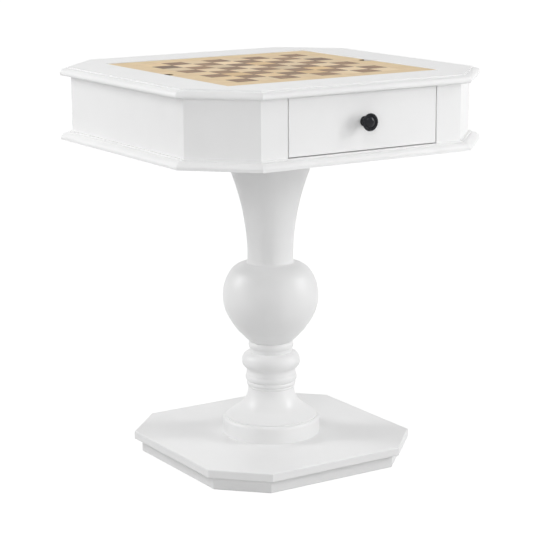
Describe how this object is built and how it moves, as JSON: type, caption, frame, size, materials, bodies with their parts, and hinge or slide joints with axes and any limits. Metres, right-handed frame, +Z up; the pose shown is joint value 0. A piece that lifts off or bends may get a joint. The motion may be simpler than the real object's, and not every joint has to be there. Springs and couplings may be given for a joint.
{
  "type": "chess table",
  "caption": "Pedestal chess table: white eight-sided case with a drawer, lift-out inlaid chess board with finger notches, turned column, two-layer base.",
  "frame": {"origin": "centre of the underside of the base, on the floor", "axes": "+Z up, -Y out of the drawer's face, +X to the right of somebody who faces the drawer"},
  "size_m": [0.6864, 0.6891, 0.7874],
  "materials": {
    "white_lacquer": "white satin lacquer on wood",
    "plain_wood": "clear-sealed hardwood and plywood",
    "board_core_wood": "core board with dark stained edges",
    "maple_veneer": "satin honey-coloured veneer",
    "light_veneer": "satin maple veneer, grain direction varying",
    "walnut_veneer": "satin walnut veneer",
    "felt": "black felt",
    "dark_bronze": "dark oil-rubbed bronze, polished",
    "zinc_steel": "zinc-plated"
  },
  "bodies": {
    "table": {"apron_back": "white_lacquer", "apron_left": "white_lacquer", "apron_right": "white_lacquer", "base_lower_board": "white_lacquer", "base_screws": "zinc_steel", "base_upper_board": "white_lacquer", "case_floor": "white_lacquer", "case_screws": "zinc_steel", "column_bell": "white_lacquer", "column_collar": "white_lacquer", "column_foot_disc": "white_lacquer", "column_trumpet": "white_lacquer", "column_urn": "white_lacquer", "corner_panel_back_left": "white_lacquer", "corner_panel_back_right": "white_lacquer", "corner_panel_front_left": "white_lacquer", "corner_panel_front_right": "white_lacquer", "drawer_guide_left": "plain_wood", "drawer_guide_right": "plain_wood", "drawer_runner_left": "plain_wood", "drawer_runner_right": "plain_wood", "drawer_stop": "plain_wood", "foot_screws": "zinc_steel", "front_sill": "white_lacquer", "front_stile_left": "white_lacquer", "front_stile_right": "white_lacquer", "tie_rod": "zinc_steel", "tie_rod_nuts": "zinc_steel", "tie_rod_washers": "zinc_steel", "top_rail_back": "white_lacquer", "top_rail_front": "white_lacquer", "top_rail_left": "white_lacquer", "top_rail_right": "white_lacquer", "waist_corner_strips": "white_lacquer", "waist_long_strips": "white_lacquer", "well_felt": "felt", "well_floor": "plain_wood", "well_rail_back": "plain_wood", "well_rail_front": "plain_wood", "well_rail_left": "plain_wood", "well_rail_right": "plain_wood", "well_screws": "zinc_steel"},
    "drawer": {"drawer_front": "white_lacquer", "drawer_side_left": "plain_wood", "drawer_side_right": "plain_wood", "drawer_back": "plain_wood", "drawer_bottom": "plain_wood", "drawer_knob": "dark_bronze", "knob_screw": "zinc_steel"},
    "board": {"board_core": "board_core_wood", "board_back_veneer": "maple_veneer", "board_border": "maple_veneer", "board_dark_squares": "walnut_veneer", "board_light_squares": "light_veneer"}
  },
  "joints": [
    {"name": "drawer_slide", "type": "slide", "parent": "table", "child": "drawer", "axis": [0, -1, 0], "range_m": [0, 0.2275]},
    {"name": "board_lift", "type": "slide", "parent": "table", "child": "board", "axis": [0, 0, 1], "range_m": [0, 0.08]}
  ]
}
